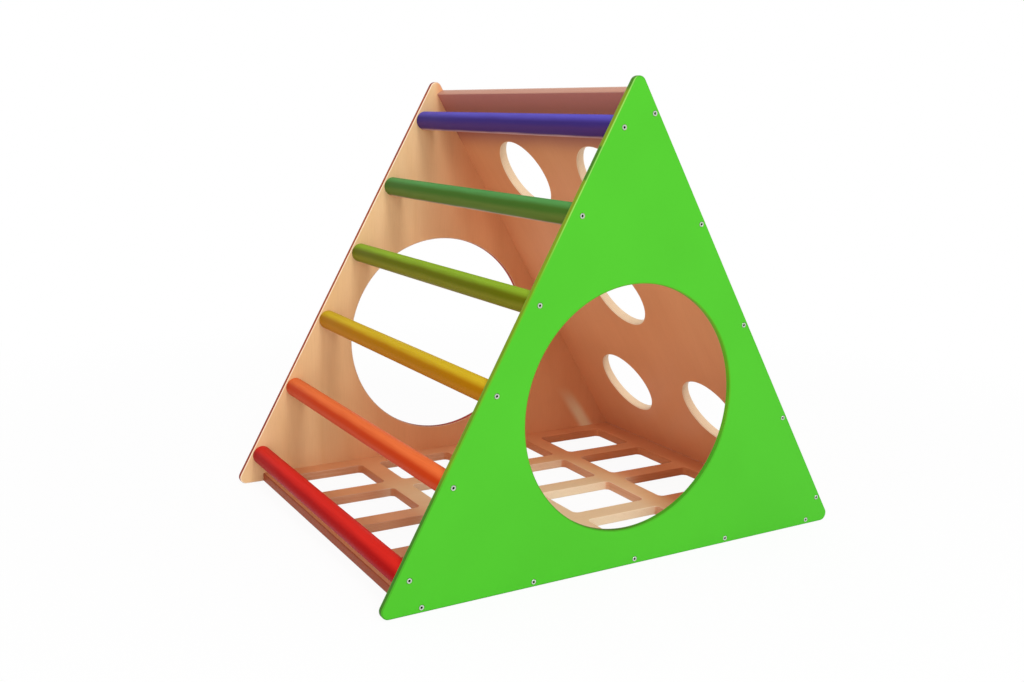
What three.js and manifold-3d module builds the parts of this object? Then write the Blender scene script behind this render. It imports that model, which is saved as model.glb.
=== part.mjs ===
// A children's plywood climbing module. Two triangular side panels carry six
// painted rungs on the front slope, a back panel with five round holes and a
// slotted floor. Every piece is butted against the side panels and held by
// countersunk screws with hexagon sockets, driven in from outside.
//
// Units are millimetres. X runs along the rungs, Y runs from the rungs to the
// back panel, Z is up. The origin is on the ground, in the middle of the module.

import * as THREE from 'three';
import { mergeVertices } from 'three/addons/utils/BufferGeometryUtils.js';
import Module from 'manifold-3d';

const wasm = await Module();
wasm.setup();

// Overall sizes
const base_length = 1000; // side panel along the ground, between its sharp corners
const apex_height = 871; // sharp apex above the ground
const apex_lead = 30; // the apex stands this far ahead of the middle of the base
const overall_width = 750; // over the outer faces of the side panels
const side_thickness = 12; // of the side panels
const ply_thickness = 18; // of the back panel and the floor

// Side panels
const corner_radius = 14;
const border_front = 71; // wood left between the big hole and the front slope
const border_back = 65; // and the back slope
const border_bottom = 70; // and the ground
const edge_round = 2.5; // rounding of every panel edge that hands can reach

// Rungs
const rung_diameter = 40;
const rung_count = 6;
const rung_start = 80; // up the front slope, from the sharp corner to the lowest rung's axis
const rung_end = 99; // from the highest rung's axis on to the sharp apex
const rung_inset = 23; // from the front slope in to the rung's axis

// Back panel
const back_top_setback = 35; // from the sharp apex down the back slope to the panel's top
const back_hole_diameter = 158;
const back_hole_pitch_x = 294;
const back_hole_pitch_slope = 565; // from the lower pair of holes to the upper pair
const back_screw_shares = [0.037, 0.256, 0.49, 0.721, 0.951];

// Floor
const floor_front_setback = 60; // from the sharp front corner to the floor's front edge
const grid_columns = 4;
const grid_rows = 4;
const grid_web = 44;
const grid_border_side = 43;
const grid_border_front = 40;
const grid_border_back = 58.5;
const grid_corner_radius = 10;

// Screws
const screw_length = 50;
const screw_shank_diameter = 5;
const screw_head_diameter = 9;
const screw_head_land = 0.6; // straight rim of the head, above its cone
const screw_tip_length = 6;
const socket_across_flats = 4;
const socket_depth = 2.4;
const head_recess = 0.2; // the head lies this far under the panel's face
const pilot_extra = 2; // the pilot hole is this much deeper than the screw

// Clearances
const seat_gap = 0.3; // between two pieces that rest on each other
const overrun = 5; // cutting tools run this far past the wood

// Facets
const corner_steps = 16;
const big_hole_steps = 60;
const back_hole_steps = 36;
const grid_corner_steps = 3;
const rung_steps = 24;
const screw_steps = 10;
const bore_steps = 10;
const panel_round_steps = 2;
const floor_round_steps = 1;

// Colours and finishes
const finishes = {
  green_paint: { color: 0x57cc2f, roughness: 0.35, metalness: 0 },
  red_paint: { color: 0xc8281f, roughness: 0.35, metalness: 0 },
  orange_paint: { color: 0xe8602a, roughness: 0.35, metalness: 0 },
  yellow_paint: { color: 0xd6a81e, roughness: 0.35, metalness: 0 },
  lime_paint: { color: 0x84a528, roughness: 0.35, metalness: 0 },
  dark_green_paint: { color: 0x387d3c, roughness: 0.35, metalness: 0 },
  blue_paint: { color: 0x47379a, roughness: 0.35, metalness: 0 },
  birch: { color: 0xdcb98a, roughness: 0.4, metalness: 0 },
  steel: { color: 0xb9bcc0, roughness: 0.3, metalness: 1 },
};
const rung_colours = ['red', 'orange', 'yellow', 'lime', 'green', 'blue'];
const rung_finishes = [
  'red_paint',
  'orange_paint',
  'yellow_paint',
  'lime_paint',
  'dark_green_paint',
  'blue_paint',
];

// The triangle of the side panel, as points (y, z)
const front_corner = new THREE.Vector2(-base_length / 2, 0);
const back_corner = new THREE.Vector2(base_length / 2, 0);
const apex = new THREE.Vector2(-apex_lead, apex_height);
const front_slope = apex.clone().sub(front_corner);
const back_slope = apex.clone().sub(back_corner);
const front_along = front_slope.clone().normalize();
const back_along = back_slope.clone().normalize();
const front_inward = new THREE.Vector2(front_along.y, -front_along.x);
const front_angle = Math.atan2(front_along.y, front_along.x);
const back_angle = Math.atan2(back_along.y, -back_along.x);
const apex_angle = Math.PI - front_angle - back_angle;

// Values that follow from the sizes above
const half_width = overall_width / 2;
const inner_width = overall_width - 2 * side_thickness;
const piece_width = inner_width - 2 * seat_gap;
const screw_radius = screw_shank_diameter / 2;
const head_radius = screw_head_diameter / 2;
const bore_radius = screw_radius + seat_gap;
const pilot_depth = screw_length + head_recess - side_thickness + pilot_extra;

// How far a corner's rounding reaches along each of its two edges.
function corner_reach(angle) {
  return corner_radius / Math.tan(angle / 2);
}

// The module's middle along Y, once its two lower corners are rounded.
const front_reach = front_corner.x + corner_reach(front_angle) - corner_radius;
const back_reach = back_corner.x - corner_reach(back_angle) + corner_radius;
const depth_middle = (front_reach + back_reach) / 2;

// Points on an arc, both ends included.
function arc_points(centre, radius, from, to, steps) {
  const points = [];
  for (let i = 0; i <= steps; i += 1) {
    const angle = from + ((to - from) * i) / steps;
    const spoke = new THREE.Vector2(Math.cos(angle), Math.sin(angle));
    points.push(spoke.multiplyScalar(radius).add(centre));
  }
  return points;
}

// A closed ring of points on a circle.
function circle_points(centre, radius, steps) {
  return arc_points(centre, radius, 0, 2 * Math.PI, steps).slice(0, steps);
}

// The outline of a polygon, given anticlockwise, with every corner rounded.
function rounded_outline(corners, radius, steps) {
  const points = [];
  corners.forEach((corner, i) => {
    const before = corners[(i + corners.length - 1) % corners.length];
    const after = corners[(i + 1) % corners.length];
    const incoming = corner.clone().sub(before).normalize();
    const outgoing = after.clone().sub(corner).normalize();
    const turn = Math.acos(incoming.dot(outgoing));
    const centre = corner.clone()
      .addScaledVector(incoming, -radius * Math.tan(turn / 2))
      .add(new THREE.Vector2(-incoming.y, incoming.x).multiplyScalar(radius));
    const from = Math.atan2(-incoming.x, incoming.y);
    points.push(...arc_points(centre, radius, from, from + turn, steps));
  });
  return points;
}

// The four corners of a rectangle, anticlockwise.
function rectangle(x0, y0, x1, y1) {
  return [[x0, y0], [x1, y0], [x1, y1], [x0, y1]].map(([x, y]) => new THREE.Vector2(x, y));
}

// A three.js geometry as a solid that can be joined and cut.
function to_solid(geometry) {
  const bare = geometry.clone();
  bare.deleteAttribute('normal');
  bare.deleteAttribute('uv');
  const merged = mergeVertices(bare);
  return new wasm.Manifold(new wasm.Mesh({
    numProp: 3,
    vertProperties: new Float32Array(merged.attributes.position.array),
    triVerts: new Uint32Array(merged.index.array),
  }));
}

// A solid back as a three.js geometry.
function to_geometry(solid) {
  const mesh = solid.getMesh();
  const geometry = new THREE.BufferGeometry();
  geometry.setAttribute('position', new THREE.BufferAttribute(new Float32Array(mesh.vertProperties), 3));
  geometry.setIndex(new THREE.BufferAttribute(new Uint32Array(mesh.triVerts), 1));
  geometry.computeVertexNormals();
  return geometry;
}

// A sheet of plywood from z = 0 up to its thickness, with its edges rounded
// all along its outline and round each hole.
function plywood_sheet(outline, holes, thickness, round_steps) {
  const shape = new THREE.Shape(outline);
  shape.holes = holes.map((points) => new THREE.Path(points));
  const geometry = new THREE.ExtrudeGeometry(shape, {
    depth: thickness - 2 * edge_round,
    bevelEnabled: true,
    bevelThickness: edge_round,
    bevelSize: edge_round,
    bevelOffset: -edge_round,
    bevelSegments: round_steps,
  });
  geometry.translate(0, 0, edge_round);
  return to_solid(geometry);
}

// Cuts a sheet square at both sides, where it butts against the side panels.
function cut_to_width(sheet, low, high) {
  const box = new THREE.BoxGeometry(piece_width, high - low + 2 * overrun, ply_thickness + 2 * overrun);
  box.translate(0, (low + high) / 2, ply_thickness / 2);
  return sheet.intersect(to_solid(box));
}

// The pilot hole for a screw's shank, from the origin along -X or +X.
function pilot_hole(side) {
  const profile = [
    new THREE.Vector2(0, overrun),
    new THREE.Vector2(bore_radius, overrun),
    new THREE.Vector2(bore_radius, -pilot_depth + bore_radius),
    new THREE.Vector2(0, -pilot_depth),
  ].reverse();
  const geometry = new THREE.LatheGeometry(profile, bore_steps);
  geometry.rotateZ((-side * Math.PI) / 2);
  return geometry;
}

// Drills one pilot hole at each end of every place, given as points (y, z).
function drill_pilots(solid, places) {
  let drilled = solid;
  for (const place of places) {
    for (const side of [1, -1]) {
      const tool = pilot_hole(side);
      tool.translate((side * piece_width) / 2, place.x, place.y);
      drilled = drilled.subtract(to_solid(tool));
    }
  }
  return drilled;
}

// The clearance hole and countersink for a screw, about Y, with the panel's
// outer face at y = 0 and the wood below it.
function screw_seat() {
  const rim_depth = head_recess + screw_head_land;
  const cone_depth = rim_depth + head_radius - screw_radius;
  const profile = [
    new THREE.Vector2(0, -side_thickness - overrun),
    new THREE.Vector2(bore_radius, -side_thickness - overrun),
    new THREE.Vector2(bore_radius, -cone_depth),
    new THREE.Vector2(head_radius + seat_gap, -rim_depth),
    new THREE.Vector2(head_radius + seat_gap, overrun),
    new THREE.Vector2(0, overrun),
  ];
  return new THREE.LatheGeometry(profile, bore_steps);
}

// A countersunk screw with a hexagon socket, about Y, with its head's top at
// y = 0 and its tip pointing down.
function screw_form() {
  const cone_end = -screw_head_land - head_radius + screw_radius;
  const profile = [
    new THREE.Vector2(0, -screw_length),
    new THREE.Vector2(screw_radius, -screw_length + screw_tip_length),
    new THREE.Vector2(screw_radius, cone_end),
    new THREE.Vector2(head_radius, -screw_head_land),
    new THREE.Vector2(head_radius, 0),
    new THREE.Vector2(0, 0),
  ];
  const blank = to_solid(new THREE.LatheGeometry(profile, screw_steps));
  const socket_radius = socket_across_flats / 2 / Math.cos(Math.PI / 6);
  const socket = new THREE.CylinderGeometry(socket_radius, socket_radius, socket_depth + overrun, 6);
  socket.translate(0, (overrun - socket_depth) / 2, 0);
  return to_geometry(blank.subtract(to_solid(socket)));
}

// The rungs' axes, as points (y, z), from the lowest up. They share out the
// front slope evenly between the two named ends.
function rung_axes() {
  const axes = [];
  const rung_pitch = (front_slope.length() - rung_start - rung_end) / (rung_count - 1);
  for (let i = 0; i < rung_count; i += 1) {
    axes.push(front_corner.clone()
      .addScaledVector(front_along, rung_start + i * rung_pitch)
      .addScaledVector(front_inward, rung_inset));
  }
  return axes;
}

// The back panel's lower and upper end, as lengths up the back slope. It stands
// with its rounded inner edge on top of the floor.
const standing_height = ply_thickness + seat_gap + edge_round;
const standing_lean = (ply_thickness - edge_round) * Math.cos(back_angle);
const back_low = (standing_height + standing_lean) / Math.sin(back_angle) - edge_round;
const back_high = back_slope.length() - back_top_setback;

// The screws of the back panel, as lengths up the back slope.
function back_screw_places() {
  return back_screw_shares.map((share) => back_low + share * (back_high - back_low));
}

// The floor's front and back edge along Y. Its flat top ends under the line on
// which the back panel stands.
const floor_front = front_corner.x + floor_front_setback;
const standing_setback = (back_low + edge_round) * Math.cos(back_angle);
const standing_depth = (ply_thickness - edge_round) * Math.sin(back_angle);
const floor_back = back_corner.x - standing_setback - standing_depth + edge_round;
const floor_length = floor_back - floor_front;

// One opening of the floor's grid, along X and along Y.
const grid_width = inner_width - 2 * grid_border_side;
const grid_length = floor_length - grid_border_front - grid_border_back;
const opening_width = (grid_width - (grid_columns - 1) * grid_web) / grid_columns;
const opening_length = (grid_length - (grid_rows - 1) * grid_web) / grid_rows;

// Where an opening starts along Y.
function row_start(row) {
  return floor_front + grid_border_front + row * (opening_length + grid_web);
}

// The floor's screws along Y: in the middle of the front border and of each
// web, and as far behind the last opening.
function floor_screw_places() {
  const places = [floor_front + grid_border_front / 2];
  for (let row = 1; row < grid_rows; row += 1) {
    places.push(row_start(row) - grid_web / 2);
  }
  places.push(row_start(grid_rows - 1) + opening_length + grid_border_front / 2);
  return places;
}

// Every screw of one side panel, as a name and a point (y, z).
function screw_places() {
  const places = rung_axes().map((axis, i) => ({ name: `${rung_colours[i]}_rung`, at: axis }));
  const back_inward = new THREE.Vector2(-back_along.y, back_along.x);
  back_screw_places().forEach((along, i) => {
    const at = back_corner.clone()
      .addScaledVector(back_along, along)
      .addScaledVector(back_inward, ply_thickness / 2);
    places.push({ name: `back_${i + 1}`, at });
  });
  floor_screw_places().forEach((y, i) => {
    places.push({ name: `floor_${i + 1}`, at: new THREE.Vector2(y, ply_thickness / 2) });
  });
  return places;
}

// The big hole's centre and radius: the one circle that leaves the named
// borders of wood on all three edges of the side panel.
function big_hole() {
  const doubled_area = base_length * apex_height;
  const borders = front_slope.length() * border_front
    + back_slope.length() * border_back
    + base_length * border_bottom;
  const perimeter = front_slope.length() + back_slope.length() + base_length;
  const radius = (doubled_area - borders) / perimeter;
  const centre = new THREE.Vector2()
    .addScaledVector(front_corner, (back_slope.length() * (radius + border_back)) / doubled_area)
    .addScaledVector(back_corner, (front_slope.length() * (radius + border_front)) / doubled_area)
    .addScaledVector(apex, (base_length * (radius + border_bottom)) / doubled_area);
  return { centre, radius };
}

// A side panel in its own frame, where x is the module's Y, y is its Z and z
// is its X. The screws come in from its outer face.
function side_panel(side) {
  const circle = big_hole();
  const outline = rounded_outline([front_corner, back_corner, apex], corner_radius, corner_steps);
  const hole = circle_points(circle.centre, circle.radius, big_hole_steps);
  let panel = plywood_sheet(outline, [hole], side_thickness, panel_round_steps);
  for (const place of screw_places()) {
    const seat = screw_seat();
    seat.rotateX((side * Math.PI) / 2);
    seat.translate(place.at.x, place.at.y, side > 0 ? side_thickness : 0);
    panel = panel.subtract(to_solid(seat));
  }
  return to_geometry(panel);
}

// A rung along X, with a pilot hole in each end.
function rung() {
  const bar = new THREE.CylinderGeometry(rung_diameter / 2, rung_diameter / 2, piece_width, rung_steps);
  bar.rotateZ(Math.PI / 2);
  return to_geometry(drill_pilots(to_solid(bar), [new THREE.Vector2(0, 0)]));
}

// The back panel in its own frame: x is the module's X, y runs up the back
// slope from the sharp back corner, and z points into the module.
function back_panel() {
  const middle = (back_low + back_high) / 2;
  const hole_places = [new THREE.Vector2(0, middle)];
  for (const x of [-back_hole_pitch_x / 2, back_hole_pitch_x / 2]) {
    for (const y of [middle - back_hole_pitch_slope / 2, middle + back_hole_pitch_slope / 2]) {
      hole_places.push(new THREE.Vector2(x, y));
    }
  }
  const hole_radius = back_hole_diameter / 2;
  const holes = hole_places.map((place) => circle_points(place, hole_radius, back_hole_steps));
  const half_sheet = inner_width / 2 + overrun;
  const outline = rectangle(-half_sheet, back_low, half_sheet, back_high);
  const sheet = plywood_sheet(outline, holes, ply_thickness, panel_round_steps);
  const panel = cut_to_width(sheet, back_low, back_high);
  const pilots = back_screw_places().map((along) => new THREE.Vector2(along, ply_thickness / 2));
  return to_geometry(drill_pilots(panel, pilots));
}

// The floor, with its grid of rounded openings.
function floor_panel() {
  const holes = [];
  for (let column = 0; column < grid_columns; column += 1) {
    const x = -inner_width / 2 + grid_border_side + column * (opening_width + grid_web);
    for (let row = 0; row < grid_rows; row += 1) {
      const y = row_start(row);
      const corners = rectangle(x, y, x + opening_width, y + opening_length);
      holes.push(rounded_outline(corners, grid_corner_radius, grid_corner_steps));
    }
  }
  const half_sheet = inner_width / 2 + overrun;
  const outline = rectangle(-half_sheet, floor_front, half_sheet, floor_back);
  const sheet = plywood_sheet(outline, holes, ply_thickness, floor_round_steps);
  const panel = cut_to_width(sheet, floor_front, floor_back);
  const pilots = floor_screw_places().map((y) => new THREE.Vector2(y, ply_thickness / 2));
  return to_geometry(drill_pilots(panel, pilots));
}

// A named piece with its finish.
function piece(name, geometry, finish) {
  const mesh = new THREE.Mesh(geometry, new THREE.MeshStandardMaterial(finishes[finish]));
  mesh.name = name;
  return mesh;
}

// A side panel with its screws, as a group whose z runs along the module's X.
function side_assembly(side, label, finish, screw_geometry) {
  const group = new THREE.Group();
  const turn = new THREE.Matrix4().makeBasis(
    new THREE.Vector3(0, 1, 0),
    new THREE.Vector3(0, 0, 1),
    new THREE.Vector3(1, 0, 0),
  );
  group.quaternion.setFromRotationMatrix(turn);
  group.position.x = side > 0 ? half_width - side_thickness : -half_width;
  group.add(piece(`${label}_side_panel`, side_panel(side), finish));
  for (const place of screw_places()) {
    const screw = piece(`${label}_screw_${place.name}`, screw_geometry, 'steel');
    screw.rotation.x = (side * Math.PI) / 2;
    const depth = side > 0 ? side_thickness - head_recess : head_recess;
    screw.position.set(place.at.x, place.at.y, depth);
    group.add(screw);
  }
  return group;
}

// The six rungs, from the lowest up.
function rung_assembly() {
  const group = new THREE.Group();
  const bar = rung();
  rung_axes().forEach((axis, i) => {
    const mesh = piece(`${rung_colours[i]}_rung`, bar, rung_finishes[i]);
    mesh.position.set(0, axis.x, axis.y);
    group.add(mesh);
  });
  return group;
}

// The back panel, leant against the back slope.
function back_assembly() {
  const group = new THREE.Group();
  group.rotation.x = Math.PI - back_angle;
  group.position.set(0, back_corner.x, back_corner.y);
  group.add(piece('back_panel', back_panel(), 'birch'));
  return group;
}

const climbing_module = new THREE.Group();
const screw_geometry = screw_form();
climbing_module.add(side_assembly(1, 'green', 'green_paint', screw_geometry));
climbing_module.add(side_assembly(-1, 'red', 'red_paint', screw_geometry));
climbing_module.add(rung_assembly());
climbing_module.add(back_assembly());
climbing_module.add(piece('floor_panel', floor_panel(), 'birch'));
climbing_module.position.y = -depth_middle;

export default climbing_module;
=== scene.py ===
"""A children's plywood climbing module, dressed and lit for a studio picture.

Two triangular side panels carry six painted rungs on the front slope, a back
panel with five round holes and a slotted floor, all held by countersunk screws
with hexagon sockets. Each piece is modelled in its own flat frame and placed by
one matrix, so that its grain, plies and paint follow the piece.

Lengths are metres. X runs along the rungs, Y from the rungs to the back panel,
Z is up, and the origin is on the ground in the middle of the module.
"""

import logging
import math
from dataclasses import dataclass, field
from enum import Enum
from typing import Iterable, Sequence

import bmesh
import bpy
from bmesh.types import BMEdge, BMesh, BMVert
from bpy.types import Material, NodeSocket
from mathutils import Matrix, Vector


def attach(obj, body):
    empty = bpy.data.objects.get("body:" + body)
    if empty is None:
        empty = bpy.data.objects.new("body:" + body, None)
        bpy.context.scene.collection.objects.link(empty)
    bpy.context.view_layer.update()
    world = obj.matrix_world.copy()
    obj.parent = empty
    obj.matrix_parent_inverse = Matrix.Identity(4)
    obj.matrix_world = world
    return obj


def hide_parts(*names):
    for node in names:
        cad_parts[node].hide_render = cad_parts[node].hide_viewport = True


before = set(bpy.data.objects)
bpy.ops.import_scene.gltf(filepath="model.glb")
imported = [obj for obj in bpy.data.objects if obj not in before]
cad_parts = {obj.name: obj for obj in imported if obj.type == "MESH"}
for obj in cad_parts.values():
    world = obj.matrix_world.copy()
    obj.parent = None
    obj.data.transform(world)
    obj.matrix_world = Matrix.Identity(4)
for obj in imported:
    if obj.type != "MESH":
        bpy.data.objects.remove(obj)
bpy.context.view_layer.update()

LOG = logging.getLogger("climbing_module")
MM = 0.001


class Side(Enum):
    """The two side panels, by the sign of X on which they stand."""

    GREEN = 1
    RED = -1

    @property
    def label(self) -> str:
        """The side's name as the solids have it."""
        return self.name.lower()


class Inside(Enum):
    """Which flat face of a sheet looks into the module, by its depth."""

    LOW = 0
    HIGH = 1


# Sizes

Profile = list[tuple[float, float]]


@dataclass(frozen=True)
class Ply:
    """A stock sheet of plywood."""

    thickness: float
    layers: int


@dataclass(frozen=True)
class Stock:
    """The sheets and the clearances that all the pieces share.

    Two rings on one flat face stand apart by the crown, because the operator
    that bridges them reads their order from the way between their middles.
    """

    crown: float = 0.001 * MM
    side_ply: Ply = Ply(12 * MM, 9)
    board_ply: Ply = Ply(18 * MM, 13)
    edge_round: float = 2.5 * MM
    overall_width: float = 750 * MM
    seat_gap: float = 0.3 * MM
    overrun: float = 5 * MM
    round_steps: int = 4
    margin: float = 0.8 * MM

    @property
    def inner_width(self) -> float:
        """The width between the two side panels."""
        return self.overall_width - 2 * self.side_ply.thickness

    @property
    def piece_width(self) -> float:
        """The length of a piece that butts against both side panels."""
        return self.inner_width - 2 * self.seat_gap

    def wall(self, ply: Ply, sense: int) -> Profile:
        """The growth and depth at each ring of a rounded wall, with sense -1 for a hole."""
        turns = [math.pi / 2 * step / self.round_steps for step in range(self.round_steps + 1)]
        half = [(-self.edge_round - self.margin, 0.0)]
        for turn in turns:
            drop = self.edge_round * (1 - math.cos(turn))
            half.append((self.edge_round * (math.sin(turn) - 1), max(drop, self.crown)))
        whole = half + [(grow, ply.thickness - low) for grow, low in reversed(half)]
        return [(sense * grow, low) for grow, low in whole]


@dataclass(frozen=True)
class Slope:
    """One slope of the side panel between its sharp corners, as points (y, z)."""

    foot: Vector
    apex: Vector
    sense: int

    @property
    def along(self) -> Vector:
        """The direction up the slope."""
        return (self.apex - self.foot).normalized()

    @property
    def inward(self) -> Vector:
        """The direction square to the slope, into the panel."""
        return Vector((self.along.y, -self.along.x)) * self.sense

    @property
    def angle(self) -> float:
        """The slope's angle with the ground."""
        return math.atan2(self.along.y, abs(self.along.x))

    @property
    def length(self) -> float:
        """The slope's length."""
        return (self.apex - self.foot).length


@dataclass(frozen=True)
class Triangle:
    """The side panel's triangle with sharp corners, as points (y, z)."""

    base_length: float = 1000 * MM
    apex_height: float = 871 * MM
    apex_lead: float = 30 * MM
    corner_radius: float = 14 * MM

    @property
    def corners(self) -> tuple[Vector, Vector, Vector]:
        """The front, back and top corner, centred over the rounded corners."""
        front = Vector((-self.base_length / 2, 0))
        back = Vector((self.base_length / 2, 0))
        top = Vector((-self.apex_lead, self.apex_height))
        low = front.x + self._drawn_in(top - front, back - front)
        high = back.x - self._drawn_in(top - back, front - back)
        middle = Vector(((low + high) / 2, 0))
        return front - middle, back - middle, top - middle

    def _drawn_in(self, one: Vector, other: Vector) -> float:
        """How far a corner's rounding draws the panel in along the ground."""
        return self.corner_radius / math.tan(one.angle(other) / 2) - self.corner_radius

    @property
    def front(self) -> Slope:
        """The front slope, which carries the rungs."""
        foot, _, apex = self.corners
        return Slope(foot, apex, 1)

    @property
    def back(self) -> Slope:
        """The back slope, against which the back panel leans."""
        _, foot, apex = self.corners
        return Slope(foot, apex, -1)


STOCK = Stock()
TRIANGLE = Triangle()


def crosswise(sense: int, x: float, at: Vector) -> Matrix:
    """The matrix that turns a piece's own Z along X, with its origin at x and a point (y, z)."""
    return Matrix(((0, 0, sense, x), (1, 0, 0, at.x), (0, 1, 0, at.y), (0, 0, 0, 1)))


# Modelling


@dataclass(frozen=True)
class Outline:
    """A rounded polygon, as the centres of its corners and their radius."""

    centres: tuple[Vector, ...]
    radius: float
    steps: int

    @classmethod
    def circle(cls, centre: Vector, radius: float, steps: int) -> "Outline":
        """A round outline about one centre."""
        return cls((centre,), radius, steps)

    @classmethod
    def rectangle(cls, low: Vector, high: Vector, radius: float, steps: int) -> "Outline":
        """A rectangle between two corners, rounded to a radius."""
        xs = (low.x + radius, high.x - radius)
        ys = (low.y + radius, high.y - radius)
        return cls(tuple(Vector((x, y)) for x in xs for y in ys), radius, steps)

    @classmethod
    def polygon(cls, corners: Sequence[Vector], radius: float, steps: int) -> "Outline":
        """A polygon given by its sharp corners in order, rounded to a radius."""
        centres = []
        for i, corner in enumerate(corners):
            before = (corners[i - 1] - corner).normalized()
            after = (corners[(i + 1) % len(corners)] - corner).normalized()
            half = before.angle(after) / 2
            centres.append(corner + (before + after).normalized() * radius / math.sin(half))
        return cls(tuple(centres), radius, steps)

    def ring(self, mesh: BMesh, grow: float, depth: float) -> list[BMVert]:
        """Adds the outline as a ring of points.

        Args:
            mesh: The mesh that gets the ring.
            grow: How much larger than the outline the ring's radius is.
            depth: The ring's place along Z.

        Returns:
            The ring's points.
        """
        level = Matrix.Translation((0, 0, depth))
        made = bmesh.ops.create_circle(
            mesh, cap_ends=False, segments=self.steps, radius=self.radius + grow, matrix=level
        )["verts"]
        groups: dict[int, list[BMVert]] = {}
        for point in made:
            direction = point.co.xy
            corner = max(range(len(self.centres)), key=lambda i: self.centres[i].dot(direction))
            groups.setdefault(corner, []).append(point)
        for corner, points in groups.items():
            bmesh.ops.translate(mesh, vec=self.centres[corner].to_3d(), verts=points)
        return made


def ring_edges(points: Sequence[BMVert]) -> list[BMEdge]:
    """The edges between the points of a ring, in a fixed order."""
    inside = set(points)
    found = dict.fromkeys(edge for point in points for edge in point.link_edges)
    return [edge for edge in found if edge.verts[0] in inside and edge.verts[1] in inside]


def add_object(name: str, data: bpy.types.ID) -> bpy.types.Object:
    """Adds an object to the scene."""
    thing = bpy.data.objects.new(name, data)
    bpy.context.scene.collection.objects.link(thing)
    return thing


def add_mesh(name: str, mesh: BMesh, material: Material) -> bpy.types.Object:
    """Turns a finished mesh into an object of the scene."""
    data = bpy.data.meshes.new(name)
    mesh.to_mesh(data)
    mesh.free()
    data.materials.append(material)
    return add_object(name, data)


class Piece:
    """One piece of the module while it is modelled in its own flat frame."""

    SHARP_ANGLE = math.radians(34)

    def __init__(self, name: str) -> None:
        """Starts an empty mesh for the piece of that name."""
        self.name = name
        self.mesh = bmesh.new()

    def loft(self, outline: Outline, profile: Profile) -> tuple[list, list]:
        """Bridges a chain of rings into a wall.

        Args:
            outline: The outline that every ring follows.
            profile: The growth of the outline and the depth at each ring.

        Returns:
            The edges of the first and of the last ring.
        """
        first: list[BMEdge] = []
        last: list[BMEdge] = []
        for grow, depth in profile:
            edges = ring_edges(outline.ring(self.mesh, grow, depth))
            if last:
                bmesh.ops.bridge_loops(self.mesh, edges=last + edges)
            else:
                first = edges
            last = edges
        return first, last

    def cap(self, loops: Iterable[Sequence[BMEdge]], facing: float) -> None:
        """Fills the flat face between an outer ring and the rings of its holes."""
        fill = {"edges": [edge for loop in loops for edge in loop], "normal": (0, 0, facing)}
        bmesh.ops.triangle_fill(self.mesh, use_beauty=False, use_dissolve=False, **fill)

    def finish(self, place: Matrix, material: Material, stands_for: str, slot: str) -> None:
        """Places the piece and hands it over to the scene.

        Args:
            place: The matrix from the piece's own frame to the module's.
            material: The piece's finish.
            stands_for: The solid that the piece replaces.
            slot: The record's slot for its finish; not used.
        """
        bmesh.ops.transform(self.mesh, matrix=place, verts=self.mesh.verts)
        bmesh.ops.recalc_face_normals(self.mesh, faces=self.mesh.faces)
        for face in self.mesh.faces:
            face.smooth = True
        for edge in self.mesh.edges:
            edge.smooth = edge.is_manifold and edge.calc_face_angle(0.0) < self.SHARP_ANGLE
        faces = len(self.mesh.faces)
        open_edges = sum(not edge.is_manifold for edge in self.mesh.edges)
        LOG.info("%s: %d faces, %d open edges, for %s", self.name, faces, open_edges, stands_for)
        thing = add_mesh(self.name, self.mesh, material)
        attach(thing, "root")
        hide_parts(stands_for)


class Sheet(Piece):
    """A piece that is cut from a sheet of plywood."""

    FLAT = 0.01 * MM

    def __init__(self, name: str, ply: Ply) -> None:
        """Starts an empty mesh for a piece of that sheet."""
        super().__init__(name)
        self.ply = ply

    def cut(self, outline: Outline, holes: Iterable[Outline]) -> list[tuple[list, list]]:
        """Models the sheet's walls from z = 0 up, and gives the low and high edges of each."""
        walls = [self.loft(outline, STOCK.wall(self.ply, 1))]
        return walls + [self.loft(hole, STOCK.wall(self.ply, -1)) for hole in holes]

    def face(self, walls: Sequence[tuple[list, list]]) -> None:
        """Fills the two flat faces between the walls."""
        self.cap([low for low, _ in walls], -1)
        self.cap([high for _, high in walls], 1)

    def cut_to_width(self, width: float) -> None:
        """Cuts the piece square at both ends of a width about x = 0."""
        for side in (1, -1):
            everything = self.mesh.verts[:] + self.mesh.edges[:] + self.mesh.faces[:]
            plane = {"plane_co": (side * width / 2, 0, 0), "plane_no": (side, 0, 0)}
            bmesh.ops.bisect_plane(self.mesh, geom=everything, dist=1e-7, clear_outer=True, **plane)
            open_edges = [edge for edge in self.mesh.edges if edge.is_boundary]
            bmesh.ops.holes_fill(self.mesh, edges=open_edges, sides=0)

    def mark_walls(self) -> None:
        """Marks the sheet's walls, and apart from them its rounded arrises."""
        wall = self.mesh.verts.layers.float.new("wall")
        arris = self.mesh.verts.layers.float.new("arris")
        for point in self.mesh.verts:
            depth = min(point.co.z, self.ply.thickness - point.co.z)
            point[wall] = float(depth > self.FLAT)
            point[arris] = float(self.FLAT < depth < 0.9 * STOCK.edge_round)


# Shader graphs


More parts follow.
